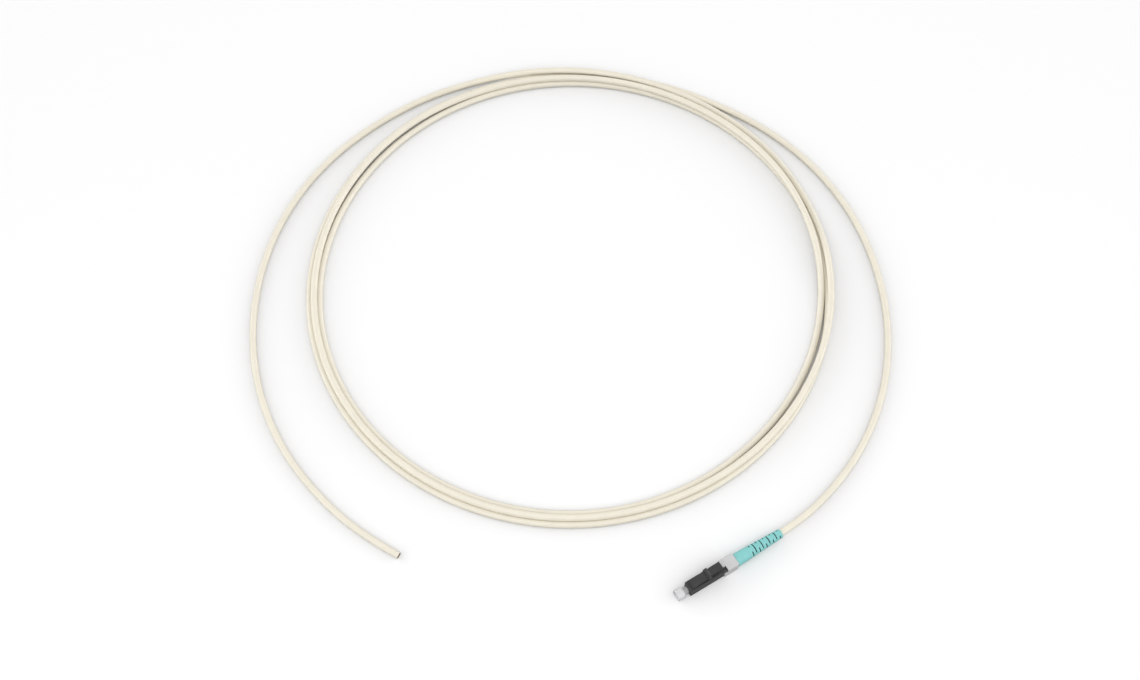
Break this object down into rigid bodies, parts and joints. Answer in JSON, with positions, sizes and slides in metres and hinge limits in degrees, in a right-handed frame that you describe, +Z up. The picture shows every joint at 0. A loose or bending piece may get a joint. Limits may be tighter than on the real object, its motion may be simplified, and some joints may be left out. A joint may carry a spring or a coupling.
{
  "type": "lc fibre pigtail",
  "caption": "Fibre pigtail: a latched small-form plug with a slotted boot and a dust cap on a thin round cable, which lies in loose turns and ends in a bare cut for splicing.",
  "frame": {"origin": "on the surface the pigtail lies on, under the middle of the plug with its boot and dust cap", "axes": "+Y along the plug from its mating end to its boot, +Z up from the underside of the collar to the latch, +X across the plug"},
  "size_m": [0.2799, 0.2834, 0.0094],
  "materials": {
    "black_plastic": "fine moulded satin",
    "white_plastic": "moulded satin",
    "boot_rubber": "soft matte",
    "cap_plastic": "translucent, waxy",
    "jacket": "smooth extruded, satin",
    "zirconia": "polished",
    "plated_metal": "turned, nickel plated",
    "spring_steel": "drawn wire",
    "fibre_glass": "polished",
    "tube_plastic": "smooth",
    "buffer_plastic": "smooth",
    "yarn": "fibrous",
    "crimp_metal": "crimped, dull"
  },
  "bodies": {
    "plug": {"plug_housing": "black_plastic", "rear_body": "white_plastic", "boot": "boot_rubber", "crimp_sleeve": "crimp_metal", "aramid_yarn": "yarn", "guide_tube": "tube_plastic", "tight_buffer": "buffer_plastic", "ferrule_spring": "spring_steel", "cable_lead": "jacket", "cable_coil": "jacket", "cable_tail": "jacket", "cut_yarn": "yarn", "cut_buffer": "buffer_plastic", "cut_fibre": "fibre_glass"},
    "latch": {"latch_lever": "black_plastic"},
    "ferrule": {"ferrule": "zirconia", "ferrule_flange": "plated_metal", "bare_fibre": "fibre_glass"},
    "cap": {"dust_cap": "cap_plastic"}
  },
  "joints": [
    {"name": "latch_press", "type": "hinge", "parent": "plug", "child": "latch", "pos_m": [0, -0.01817, 0.00556], "axis": [-1, 0, 0], "range_deg": [0, 6], "stiffness_Nm_per_rad": 0.3},
    {"name": "ferrule_float", "type": "slide", "parent": "plug", "child": "ferrule", "axis": [0, 1, 0], "range_m": [0, 0.0008], "stiffness_N_per_m": 1000, "springref_m": -0.005, "deforming": ["ferrule_spring"]},
    {"name": "cap_pull", "type": "slide", "parent": "plug", "child": "cap", "axis": [0, -1, 0], "range_m": [0, 0.012]}
  ]
}
